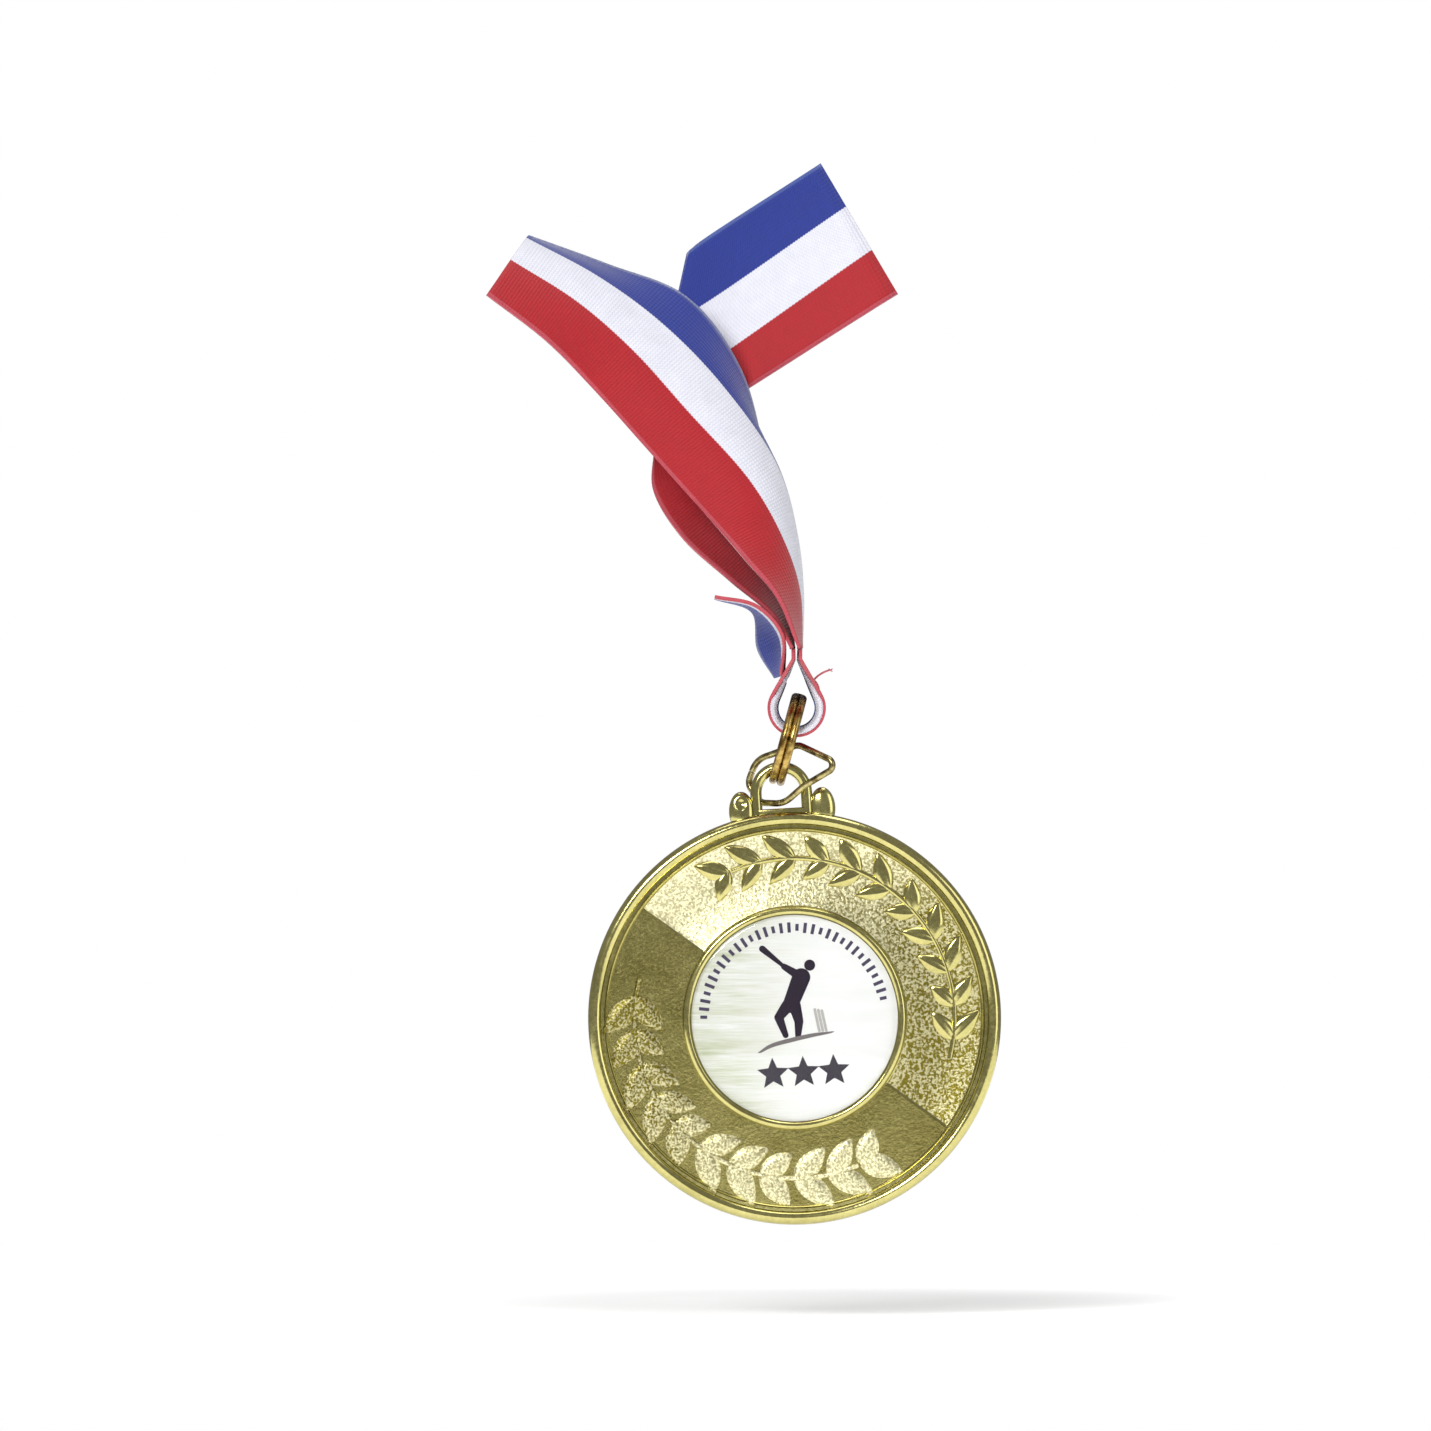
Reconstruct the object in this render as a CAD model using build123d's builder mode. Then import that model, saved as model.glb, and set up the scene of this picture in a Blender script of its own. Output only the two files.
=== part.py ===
"""A 50 mm laurel medal with a printed centre, hanging by a split ring from a striped ribbon.

Frame: millimetres, +Z up, the medal's front faces -Y, and the origin is the point midway
between the two ribbon ends, where the ribbon is held.
"""

import os
from math import asin, cos, degrees, radians, sin, sqrt

from build123d import *

# ribbon
RIBBON_WIDTH = 20.0
RIBBON_THICK = 0.5
STRIPES = 3
FLAT = (-2, 0, 2)  # turns of the stripes in degrees where the ribbon lies flat, hardly cupped

# sewn loop, seen from its side: a circle drawn up to a point at the seam
LOOP_X = 13.55  # middle of the loop, from the point where the ribbon is held
LOOP_Z = -55.95
LOOP_RADIUS = 2.75  # to the middle of the gathered band
LOOP_BAND = 1.3  # thickness of the gathered ribbon
LOOP_RISE = 6.5  # from the circle's middle up to the seam
GATHERED_WIDTH = 7.8  # ribbon width where the ring bunches it
SEAM_WIDTH = 15.0  # ribbon width at the seam
SEAM_LAP = 0.7  # the legs end this far above the point of the loop, sewn to it
FRONT_LEG_SIDE = 0.55  # where the legs' ends stand, to the side of the loop's middle
BACK_LEG_SIDE = -0.35

# legs: the back one is flat from its end to a crease, where it folds over
BACK_TILT = 22.0  # degrees that its upper edge leans back
BACK_RUN = 30.0  # slope of its flat stretch
CREASE_SIDE = 5.8  # the crease's top end, across and up from its bottom end
CREASE_RISE = 26.9
CREASE_ROLL = 0.8  # radius of the fold
CREASE_STEPS = (0, 45, 90, 135, 180)  # degrees round the fold

# seam stitches and the loose end of their thread
THREAD = 0.35
STITCH_LENGTH = 1.3
STITCH_COUNT = 7
STITCH_RISE = 1.45  # their middle, up the loop's flank from where its round part ends
THREAD_END = ((0.5, -0.3, 0.9), (1.3, -0.3, 1.3), (2.1, -0.1, 1.1))  # its route, from its foot
THREAD_BEND = 0.3

# split ring: two coils side by side
RING_OUTER = 11.4
RING_WIRE = 0.95
RING_LEAN = 15.0  # its top leans to the right
RING_TOP_SIDE = 0.322  # where its top passes through the loop, from the loop's middle
RING_TOP_RISE = 1.247
RING_STEP_ANGLE = 14.0  # part of a turn in which one coil steps over to the other

# medal
MEDAL_DIAMETER = 50.0
MEDAL_THICK = 2.8
MEDAL_TILT = 3.4  # it hangs turned to the left
RIM_WIDTH = 1.6
RIM_ROUND = 0.4  # bevel of the back edge
RIM_SHOULDER = 0.8  # the rim's rounded front starts this far down its side
BEAD_GAP = 0.35  # from the rim's foot to the fine bead inside it
BEAD_WIDTH = 0.4
BEAD_HEIGHT = 0.25
FIELD_DEPTH = 0.55  # field under the top of the rim
FIELD_STEP = 0.15  # the grained half lies this much deeper than the polished half
FIELD_EDGE = 0.2  # level strip kept along the bead and the seat
FIELD_SPLIT = -39.0  # slope of the line that divides the two halves

# seat for the printed centre
INSERT_DIAMETER = 25.0
SEAT_CLEARANCE = 0.15
SEAT_RING_WIDTH = 0.9
SEAT_RING_DROP = 0.15  # its top under the top of the rim
PAD_DIAMETER = 22.0
PAD_THICK = 0.2
INSERT_THICK = 0.4
DOME_EDGE = 0.3
DOME_CROWN = 0.85
SEAT_FLOOR_DEPTH = 1.5  # under the top of the rim

# laurel branches
LEAF_HEIGHT = 0.3
LEAF_PAIRS = 11
LEAF_PITCH = 12.2  # degrees between pairs
BRANCH_LEAD = 27.0  # degrees from the dividing line to the first pair
BRANCH_INSET = 3.25  # from the bead to the middle of the branch
BRANCH_WIDTH = 0.6
BRANCH_END = 1.5  # degrees that a branch runs past its first and last pairs
OUTER_LEAF = (4.5, 1.7)
INNER_LEAF = (4.0, 1.6)
LEAF_SPREAD = 29.0  # turn of a leaf away from its branch

# eye, a cast arch between two shoulders
EYE_WIDTH = 7.5
EYE_BAND = 1.38
EYE_HEIGHT = 6.1  # from the medal's edge up to the top of the arch
EYE_THICK = 1.4
EYE_ROUND = 0.55
EYE_SILL = 0.45  # bottom of its opening above the medal's edge
SHOULDER_RADIUS = 1.45
SHOULDER_X = 4.9
SHOULDER_Z = 1.3
RING_SEAT_X = 0.1  # where the ring bears on the arch, from its middle
RING_PLAY = 0.55  # under the top of the arch, so that both coils clear its curve

# jump ring, hanging slack through the eye and the split ring
JUMP_WIRE = 0.8
JUMP_YAW = -31.0  # turn of its plane about the vertical
JUMP_GAP = 0.15  # between its cut ends
JUMP_SIDE = 0.18  # the zero point of its bends, to the side of the arch's top
# its bends in its own plane: (along, up, radius)
JUMP_LOW = (  # up from the sill, from the cut to the right
    (-4.85, 2.97, 1.4),
    (-3.1, 0.67, 1.6),
    (0.25, 0.55, 3.4),
    (3.1, 2.72, 5.0),
)
JUMP_HIGH = (  # up from the middle of the arch's top, and back to the cut
    (8.2, 0.36, 0.8),
    (2.3, 2.75, 1.8),
    (-3.6, 0.91, 2.8),
)


def across(angle):
    """Unit vector in the plane of the front view, at an angle above +X."""
    return Vector(cos(radians(angle)), 0, sin(radians(angle)))


def polar(radius, angle):
    """A point of a sketch, by its distance and direction from the middle."""
    return radius * cos(radians(angle)), radius * sin(radians(angle))


# what hangs from what: loop, ring, eye, medal
ring_up = across(90 - RING_LEAN)
ring_radius = (RING_OUTER - RING_WIRE) / 2
ring_inner_radius = ring_radius - RING_WIRE / 2
ring_middle = Vector(LOOP_X + RING_TOP_SIDE, 0, LOOP_Z + RING_TOP_RISE) - ring_up * ring_radius
arch_middle = ring_middle - ring_up * (ring_inner_radius - RING_PLAY - EYE_BAND / 2)
medal_radius = MEDAL_DIAMETER / 2
arch_radius = medal_radius + EYE_HEIGHT - EYE_BAND / 2
medal_right = across(MEDAL_TILT)
medal_up = across(90 + MEDAL_TILT)
medal_middle = arch_middle - medal_right * RING_SEAT_X - medal_up * arch_radius
front = Plane(medal_middle, x_dir=medal_right, z_dir=(0, -1, 0))
axle_plane = Plane(medal_middle, x_dir=medal_right, z_dir=-medal_up)  # radius across, front up
medal_axis = Axis(medal_middle, (0, -1, 0))

rim_top = MEDAL_THICK / 2
rim_inner = medal_radius - RIM_WIDTH
field_top = rim_top - FIELD_DEPTH
bead_outer = rim_inner - BEAD_GAP
bead_inner = bead_outer - BEAD_WIDTH
branch_radius = bead_inner - BRANCH_INSET
seat_radius = INSERT_DIAMETER / 2 + SEAT_CLEARANCE
seat_ring_outer = seat_radius + SEAT_RING_WIDTH
seat_ring_top = rim_top - SEAT_RING_DROP
seat_floor = rim_top - SEAT_FLOOR_DEPTH

os.makedirs("parts", exist_ok=True)


def save(builder, name):
    builder.part.label = name
    export_step(builder.part, f"parts/{name}.step")


def leaf_shape(length, width):
    """A pointed leaf, from its stalk at the origin along +X."""
    with BuildSketch() as leaf:
        with BuildLine():
            ThreePointArc((0, 0), (length / 2, width / 2), (length, 0))
            ThreePointArc((length, 0), (length / 2, -width / 2), (0, 0))
        make_face()
    return leaf.sketch


# --- medal body -----------------------------------------------------------------------
outer_leaf = leaf_shape(*OUTER_LEAF)
inner_leaf = leaf_shape(*INNER_LEAF)

with BuildPart() as medal_body:
    with BuildSketch(axle_plane):
        with BuildLine():
            Polyline(
                (0, seat_floor),
                (0, -rim_top),
                (medal_radius - RIM_ROUND, -rim_top),
                (medal_radius, -rim_top + RIM_ROUND),
                (medal_radius, rim_top - RIM_SHOULDER),
            )
            ThreePointArc(
                (medal_radius, rim_top - RIM_SHOULDER),
                (medal_radius - RIM_WIDTH / 2, rim_top),
                (rim_inner, field_top),
            )
            Polyline(
                (rim_inner, field_top),
                (bead_outer, field_top),
                (bead_outer - BEAD_WIDTH / 2, field_top + BEAD_HEIGHT),
                (bead_inner, field_top),
                (seat_ring_outer, field_top),
                (seat_ring_outer - SEAT_RING_WIDTH / 4, seat_ring_top),
                (seat_radius, seat_ring_top),
                (seat_radius, seat_floor),
                (0, seat_floor),
            )
        make_face()
    revolve(axis=medal_axis)
    # the grained half of the field is cast deeper, up to a straight dividing line
    with BuildSketch(front.offset(field_top)):
        Circle(bead_inner - FIELD_EDGE)
        Circle(seat_ring_outer + FIELD_EDGE, mode=Mode.SUBTRACT)
        with Locations(Location((0, 0, 0), (0, 0, FIELD_SPLIT))):
            Rectangle(
                MEDAL_DIAMETER, MEDAL_DIAMETER, align=(Align.CENTER, Align.MAX), mode=Mode.SUBTRACT
            )
    extrude(amount=-FIELD_STEP, mode=Mode.SUBTRACT)
    # two laurel branches, half a turn apart, each growing counter-clockwise
    for turn in (0, 180):
        with BuildSketch(front.offset(field_top - FIELD_STEP)):
            start = FIELD_SPLIT + BRANCH_LEAD + turn
            foot_end = start - BRANCH_END
            reach = LEAF_PITCH * (LEAF_PAIRS - 1) + 2 * BRANCH_END
            with BuildLine():
                CenterArc((0, 0), branch_radius + BRANCH_WIDTH / 2, foot_end, reach)
                CenterArc((0, 0), branch_radius - BRANCH_WIDTH / 2, foot_end, reach)
                for end in (foot_end, foot_end + reach):
                    Line(
                        polar(branch_radius - BRANCH_WIDTH / 2, end),
                        polar(branch_radius + BRANCH_WIDTH / 2, end),
                    )
            make_face()
            for pair in range(LEAF_PAIRS):
                angle = start + pair * LEAF_PITCH
                stalk = polar(branch_radius, angle)
                for leaf, side in ((outer_leaf, -1), (inner_leaf, 1)):
                    with Locations(Location((*stalk, 0), (0, 0, angle + 90 + side * LEAF_SPREAD))):
                        add(leaf)
        extrude(amount=FIELD_STEP + LEAF_HEIGHT)
    # sill and shoulders of the eye
    with BuildSketch(front.offset(-EYE_THICK / 2)):
        with Locations((0, rim_inner)):
            Rectangle(EYE_WIDTH, EYE_SILL + RIM_WIDTH, align=(Align.CENTER, Align.MIN))
        for side in (-1, 1):
            with Locations((side * SHOULDER_X, medal_radius + SHOULDER_Z)):
                Circle(SHOULDER_RADIUS)
                Rectangle(2 * SHOULDER_RADIUS, SHOULDER_Z + RIM_WIDTH, align=(Align.CENTER, Align.MAX))
    extrude(amount=EYE_THICK)
    # arch of the eye
    arch_half = (EYE_WIDTH - EYE_BAND) / 2
    arch_centre = arch_radius - arch_half
    with BuildLine(front) as arch_path:
        Line((-arch_half, rim_inner), (-arch_half, arch_centre))
        ThreePointArc((-arch_half, arch_centre), (0, arch_radius), (arch_half, arch_centre))
        Line((arch_half, arch_centre), (arch_half, rim_inner))
    with BuildSketch(Plane(arch_path.line @ 0, x_dir=medal_right, z_dir=medal_up)):
        RectangleRounded(EYE_BAND, EYE_THICK, EYE_ROUND)
    sweep(path=arch_path.line)
save(medal_body, "medal_body")

# --- printed centre: adhesive pad, brushed metal disc, clear dome ----------------------
pad_top = seat_floor + PAD_THICK
insert_top = pad_top + INSERT_THICK
dome_edge_top = insert_top + DOME_EDGE

with BuildPart() as insert_adhesive:
    with BuildSketch(front.offset(seat_floor)):
        Circle(PAD_DIAMETER / 2)
    extrude(amount=PAD_THICK)
save(insert_adhesive, "insert_adhesive")

with BuildPart() as insert_disc:
    with BuildSketch(front.offset(pad_top)):
        Circle(INSERT_DIAMETER / 2)
    extrude(amount=INSERT_THICK)
save(insert_disc, "insert_disc")

with BuildPart() as insert_dome:
    insert_radius = INSERT_DIAMETER / 2
    dome_sphere = (insert_radius**2 + DOME_CROWN**2) / (2 * DOME_CROWN)
    half_way = sqrt(dome_sphere**2 - (insert_radius / 2) ** 2) - (dome_sphere - DOME_CROWN)
    with BuildSketch(axle_plane):
        with BuildLine():
            Polyline((0, insert_top), (insert_radius, insert_top), (insert_radius, dome_edge_top))
            ThreePointArc(
                (insert_radius, dome_edge_top),
                (insert_radius / 2, dome_edge_top + half_way),
                (0, dome_edge_top + DOME_CROWN),
            )
            Line((0, dome_edge_top + DOME_CROWN), (0, insert_top))
        make_face()
    revolve(axis=medal_axis)
save(insert_dome, "insert_dome")

# --- split ring -------------------------------------------------------------------------
ring_axis = across(-RING_LEAN)


def on_coil(side, angle):
    """A point on the middle of one coil's wire, at an angle round the ring from its top."""
    out = ring_up * cos(radians(angle)) + Vector(0, 1, 0) * sin(radians(angle))
    return ring_middle + out * ring_radius + ring_axis * (side * RING_WIRE / 2)


def along_coil(angle):
    return Vector(0, 1, 0) * cos(radians(angle)) - ring_up * sin(radians(angle))


with BuildPart() as split_ring:
    step = RING_STEP_ANGLE / 2
    step_pull = ring_radius * radians(step)
    with BuildLine() as ring_path:
        ThreePointArc(on_coil(-1, step), on_coil(-1, 180), on_coil(-1, 360 - step))
        Bezier(
            on_coil(-1, -step),
            on_coil(-1, -step) + along_coil(-step) * step_pull,
            on_coil(1, step) - along_coil(step) * step_pull,
            on_coil(1, step),
        )
        ThreePointArc(on_coil(1, step), on_coil(1, 180), on_coil(1, 360 - step))
    with BuildSketch(Plane(ring_path.line @ 0, z_dir=ring_path.line % 0)):
        Circle(RING_WIRE / 2)
    sweep(path=ring_path.line)
save(split_ring, "split_ring")

# --- jump ring --------------------------------------------------------------------------
sill_drop = EYE_HEIGHT - EYE_SILL - EYE_BAND / 2  # under the middle of the arch's top
jump_out = Vector(sin(radians(JUMP_YAW)), -cos(radians(JUMP_YAW)), 0)
jump_along = Vector(cos(radians(JUMP_YAW)), sin(radians(JUMP_YAW)), 0)
jump_plane = Plane(arch_middle + Vector(JUMP_SIDE, 0, 0), jump_along, jump_out)
jump_bends = [(along, rise - sill_drop, radius) for along, rise, radius in JUMP_LOW]
jump_bends += JUMP_HIGH

with BuildPart() as jump_ring:
    bends = [jump_plane.from_local_coords((along, rise)) for along, rise, _ in jump_bends]
    cut = (bends[0] + bends[-1]) / 2
    half_gap = (bends[0] - bends[-1]).normalized() * JUMP_GAP / 2
    with BuildLine() as jump_path:
        FilletPolyline(cut + half_gap, *bends, cut - half_gap, radius=[r for _, _, r in jump_bends])
    with BuildSketch(Plane(jump_path.line @ 0, z_dir=jump_path.line % 0)):
        Circle(JUMP_WIRE / 2)
    sweep(path=jump_path.line)
save(jump_ring, "jump_ring")


# --- ribbon -----------------------------------------------------------------------------
def ribbon_outline(turns, stripe, thick):
    """Cross-section of a ribbon whose stripes are turned by the given angles, red stripe first.

    The origin is the line between the red and the white stripe.
    """
    steps = [Vector(cos(radians(a)), sin(radians(a))) * stripe for a in turns]
    middle = [steps[0] * -1, Vector(0, 0), steps[1], steps[1] + steps[2]]
    upper, lower = [], []
    for i, point in enumerate(middle):
        before = steps[max(i - 1, 0)].normalized()
        after = steps[min(i, STRIPES - 1)].normalized()
        along = (before + after).normalized()
        reach = thick / 2 / before.dot(along)
        normal = Vector(-along.Y, along.X) * reach
        upper.append(point + normal)
        lower.append(point - normal)
    return [(p.X, p.Y) for p in upper + lower[::-1]]


def station(x, y, z, fall, turns, width=RIBBON_WIDTH, thick=RIBBON_THICK):
    """A cross-section of a ribbon that runs down to the right at an angle of fall."""
    plane = Plane((x, y, z), x_dir=across(90 - fall), z_dir=across(180 - fall))
    return plane, ribbon_outline(turns, width / STRIPES, thick)


def ribbon(stations):
    with BuildPart() as strip:
        for plane, outline in stations:
            with BuildSketch(plane):
                Polygon(*outline, align=None)
        loft(ruled=True)
    return strip


stripe = RIBBON_WIDTH / STRIPES
seam_z = LOOP_Z + LOOP_RISE
leg_end = -stripe / 2, seam_z + SEAM_LAP

# front leg: face on at the top left, turning edge on at the seam, red edge to the front
ribbon_front_leg = ribbon(
    [
        station(-21.1, -4.0, -1.9, 33, (41, 60, 85)),
        station(-13.0, -4.5, -7.0, 37, (27, 53, 72)),
        station(-6.3, -5.0, -12.8, 45, (6, 44, 47)),
        station(0.3, -5.5, -20.1, 50, (0, 39, 62)),
        station(8.0, -5.5, -28.8, 56, (2, 56, 100)),
        station(12.0, -4.5, -36.1, 66, (41, 75, 97)),
        station(13.8, -3.8, -41.9, 77, (66, 86, 93)),
        station(LOOP_X + FRONT_LEG_SIDE, *leg_end, 84, (88, 90, 92)),
    ]
)
save(ribbon_front_leg, "ribbon_front_leg")

# back leg: flat from the right end to a crease, then down behind the front leg
BACK_END = (22.8, 8.5, -0.25)  # its held end and its crease, on the line between red and white
CREASE_FOOT = (-3.2, 8.5, -17.2)
back_up = across(90 + BACK_RUN) * cos(radians(BACK_TILT)) + Vector(0, sin(radians(BACK_TILT)), 0)
crease = Vector(CREASE_SIDE, RIBBON_WIDTH * sin(radians(BACK_TILT)), CREASE_RISE)
crease_left = Vector(-crease.Z, 0, crease.X).normalized()
crease_front = crease.cross(crease_left).normalized()


def crease_station(turn):
    """A cross-section along the crease, part of the way round its roll."""
    outward = crease_front * cos(radians(turn)) + crease_left * sin(radians(turn))
    backward = crease_front * sin(radians(turn)) - crease_left * cos(radians(turn))
    place = Vector(CREASE_FOOT) + (outward - crease_front - crease_left) * CREASE_ROLL
    plane = Plane(place, x_dir=crease, z_dir=backward)
    return plane, ribbon_outline(FLAT, crease.length / STRIPES, RIBBON_THICK)


ribbon_back_leg = ribbon(
    [
        (
            Plane(BACK_END, x_dir=back_up, z_dir=across(BACK_RUN)),
            ribbon_outline(FLAT, stripe, RIBBON_THICK),
        ),
        *[crease_station(turn) for turn in CREASE_STEPS],
        station(1.0, 8.4, -25.0, 50, (15, 40, 60)),
        station(3.5, 6.6, -31.6, 50, (38, 62, 75)),
        station(8.2, 2.5, -37.8, 46, (55, 76, 85)),
        station(12.2, -1.1, -44.0, 55, (75, 86, 91)),
        station(LOOP_X + BACK_LEG_SIDE, *leg_end, 80, (88, 90, 92)),
    ]
)
save(ribbon_back_leg, "ribbon_back_leg")

# loop: the gathered ribbon, from the seam round the split ring and back
loop_plane = Plane((LOOP_X, 0, LOOP_Z), x_dir=(1, 0, 0), z_dir=(0, -1, 0))
apex_half_angle = degrees(asin(LOOP_RADIUS / LOOP_RISE))


def teardrop(radius, grow):
    """Outline of the loop, moved out by grow from the middle of its band."""
    reach = radius + grow
    tip = LOOP_RISE + grow / sin(radians(apex_half_angle))
    with BuildLine() as edge:
        bottom = CenterArc((0, 0), reach, 180 - apex_half_angle, 180 + 2 * apex_half_angle)
        Polyline(bottom @ 1, (0, tip), bottom @ 0)
    return edge


loop_outside = teardrop(LOOP_RADIUS, LOOP_BAND / 2)
loop_inside = teardrop(LOOP_RADIUS, -LOOP_BAND / 2)

with BuildPart() as ribbon_loop:
    with BuildSketch(loop_plane):
        make_face(loop_outside.edges())
        make_face(loop_inside.edges(), mode=Mode.SUBTRACT)
    extrude(amount=SEAM_WIDTH / 2, both=True)
    # the ribbon narrows from the seam to the ring
    with BuildSketch(Plane.YZ.offset(LOOP_X - 2 * LOOP_RADIUS)):
        with BuildLine():
            Polyline(
                (0, LOOP_Z - 2 * LOOP_RADIUS),
                (GATHERED_WIDTH / 2, LOOP_Z - 2 * LOOP_RADIUS),
                (GATHERED_WIDTH / 2, LOOP_Z),
                (SEAM_WIDTH / 2, seam_z),
                (SEAM_WIDTH / 2, seam_z + LOOP_RISE),
                (0, seam_z + LOOP_RISE),
            )
            mirror(about=Plane.YZ)
        make_face()
    extrude(amount=4 * LOOP_RADIUS, mode=Mode.INTERSECT)
save(ribbon_loop, "ribbon_loop")

# tail: the cut end of the ribbon, standing out to the left of the seam
ribbon_tail = ribbon(
    [
        station(LOOP_X - 9.4, -3.3, seam_z + 6.8, 8, (92, 98, 104)),
        station(LOOP_X - 5.4, -3.3, seam_z + 5.4, 40, (98, 106, 112)),
        station(LOOP_X - 3.1, -3.0, seam_z + 1.8, 62, (92, 100, 102)),
        station(LOOP_X - 1.65, -2.0, seam_z - 1.7, 72, (86, 92, 98), width=SEAM_WIDTH - 3),
    ]
)
save(ribbon_tail, "ribbon_tail")

# seam: a row of stitches across the gathered ribbon, half sunk in the loop's right flank
flank_out = across(apex_half_angle)
flank_up = across(90 + apex_half_angle)
flank = Vector(LOOP_X, 0, LOOP_Z) + flank_out * (LOOP_RADIUS + LOOP_BAND / 2)
stitch_pitch = (GATHERED_WIDTH - THREAD) / STITCH_COUNT
stitch_reach = stitch_pitch * (STITCH_COUNT - 1) / 2
first_stitch = flank + flank_up * STITCH_RISE - Vector(0, stitch_reach, 0)

with BuildPart() as seam_stitching:
    for i in range(STITCH_COUNT):
        with Locations(Plane(first_stitch + Vector(0, i * stitch_pitch, 0), z_dir=flank_up)):
            Cylinder(THREAD / 2, STITCH_LENGTH)
save(seam_stitching, "seam_stitching")

# loose end of the sewing thread, beside the first stitch
with BuildPart() as thread_end:
    thread_foot = first_stitch + flank_up * STITCH_LENGTH / 2 + Vector(0, -stitch_pitch / 2, 0)
    with BuildLine() as thread_path:
        FilletPolyline(
            thread_foot, *[thread_foot + Vector(*step) for step in THREAD_END], radius=THREAD_BEND
        )
    with BuildSketch(Plane(thread_path.line @ 0, z_dir=thread_path.line % 0)):
        Circle(THREAD / 2)
    sweep(path=thread_path.line)
save(thread_end, "thread_end")
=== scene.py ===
"""A 50 mm laurel medal on a striped ribbon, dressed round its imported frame.

Metres, +Z up, the medal's front faces -Y. Shapes are laid out in millimetres, and a piece's place turns
them into metres.
"""

import random
from math import asin, atan2, cos, degrees, exp, hypot, pi, radians, sin

import bmesh
import bpy
from mathutils import Matrix, Vector


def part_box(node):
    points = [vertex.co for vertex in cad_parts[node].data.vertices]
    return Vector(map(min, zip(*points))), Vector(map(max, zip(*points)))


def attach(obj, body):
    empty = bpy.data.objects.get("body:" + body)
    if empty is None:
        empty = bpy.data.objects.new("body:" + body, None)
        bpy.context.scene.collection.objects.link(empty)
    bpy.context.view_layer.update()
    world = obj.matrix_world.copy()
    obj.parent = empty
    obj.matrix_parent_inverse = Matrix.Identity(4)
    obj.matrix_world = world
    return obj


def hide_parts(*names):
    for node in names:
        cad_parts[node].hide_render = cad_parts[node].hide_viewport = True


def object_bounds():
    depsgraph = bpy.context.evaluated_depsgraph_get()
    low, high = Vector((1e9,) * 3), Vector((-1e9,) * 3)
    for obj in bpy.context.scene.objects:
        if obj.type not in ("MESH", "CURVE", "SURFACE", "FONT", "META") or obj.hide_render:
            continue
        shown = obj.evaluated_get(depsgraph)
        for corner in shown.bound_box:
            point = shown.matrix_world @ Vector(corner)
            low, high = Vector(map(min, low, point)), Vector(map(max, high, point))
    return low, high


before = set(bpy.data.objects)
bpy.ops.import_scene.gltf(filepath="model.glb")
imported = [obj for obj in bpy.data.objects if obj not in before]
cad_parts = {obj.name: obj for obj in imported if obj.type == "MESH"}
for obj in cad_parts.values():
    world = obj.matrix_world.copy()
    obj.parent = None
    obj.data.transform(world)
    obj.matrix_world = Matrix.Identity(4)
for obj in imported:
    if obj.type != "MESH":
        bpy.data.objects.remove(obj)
cad_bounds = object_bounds()
disc_low, disc_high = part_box("insert_disc")
disc_middle = (disc_low + disc_high) / 2

MM = 0.001
IN_MM = Matrix.Scale(MM, 4)

# ribbon
RIBBON_WIDTH = 20.0
RIBBON_THICK = 0.42
STRIPES = 3
STRIPE = RIBBON_WIDTH / STRIPES
FLAT = (-2, 0, 2)  # turns of the stripes in degrees where the ribbon lies flat
SECTION_STEPS = 8  # mesh steps across a stripe
RUN_STEPS = 12  # and along, from one section to the next

# sewn loop
LOOP_X, LOOP_Z = 13.55, -55.95
LOOP_RADIUS = 2.75
LOOP_RISE = 6.5
SEAM = (-STRIPE / 2, LOOP_Z + LOOP_RISE + 0.7)  # depth and height of the legs' red and white line there
# its folds, evenly spaced across the ribbon: depth, and distance out of the band's middle
GATHERED = ((-3.7, 0.58), (-1.2, 0.45), (-3.9, 0.18), (-3.2, -0.12), (2.6, -0.2), (-1.2, -0.36))
OPENED = ((-9.7, 0.1), (-5.8, 0.1), (-1.9, 0.0), (1.9, 0.0), (5.8, 0.0), (9.7, 0.0))

# fold of the back leg
BACK_TILT = 22.0  # degrees that its upper run leans back
CREASE_ROLL = 0.8  # radius of the fold

# medal, with its heights above the middle of its thickness
MEDAL_TILT = 3.4
MEDAL_RADIUS = 25.0
HALF_THICK = 1.4
RIM_INNER = 23.4
FIELD = 0.85
FIELD_STEP = 0.15  # the grained half lies this much deeper
FIELD_SPLIT = -39.0  # slope of the line between the two halves
STEP_SLOPE = 0.22  # width of the bevel along that line
BEAD_OUTER, BEAD_INNER = 23.05, 22.65
SEAT_RADIUS = 12.65
SEAT_RING_OUTER = 13.55
SEAT_RING_TOP = 1.25
SEAT_FLOOR = -0.1
INSERT_RADIUS = 12.5
INSERT_TOP = 0.5
INK = 0.02  # thickness of the print
DOME_GAP = 0.03  # dome above the disc, so that the print lies between them
DOME_EDGE, DOME_CROWN = 0.8, 1.65
ROUND_STEPS = 192

# laurel
LEAF_PAIRS = 11
LEAF_PITCH = 12.2
BRANCH_LEAD = 27.0
BRANCH_RADIUS = 19.4
BRANCH_WIRE = 0.32
LEAF_RISE = 0.42
LEAF_SPREADS = (29.0, 42.0)  # degrees that an outer and an inner leaf turn away from the branch
SHINY_LEAVES = ((5.2, 2.3), (4.6, 2.1))  # length and width of an outer and an inner leaf
MATTE_LEAVES = ((6.3, 3.0), (5.6, 2.8))

# eye
EYE_WIDTH = 7.5
EYE_BAND = 1.38
EYE_HEIGHT = 6.1
EYE_THICK = 1.4
EYE_SILL = 0.45
SHOULDER_RADIUS = 1.45
SHOULDER_X = 4.9
SHOULDER_Z = 1.3

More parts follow.
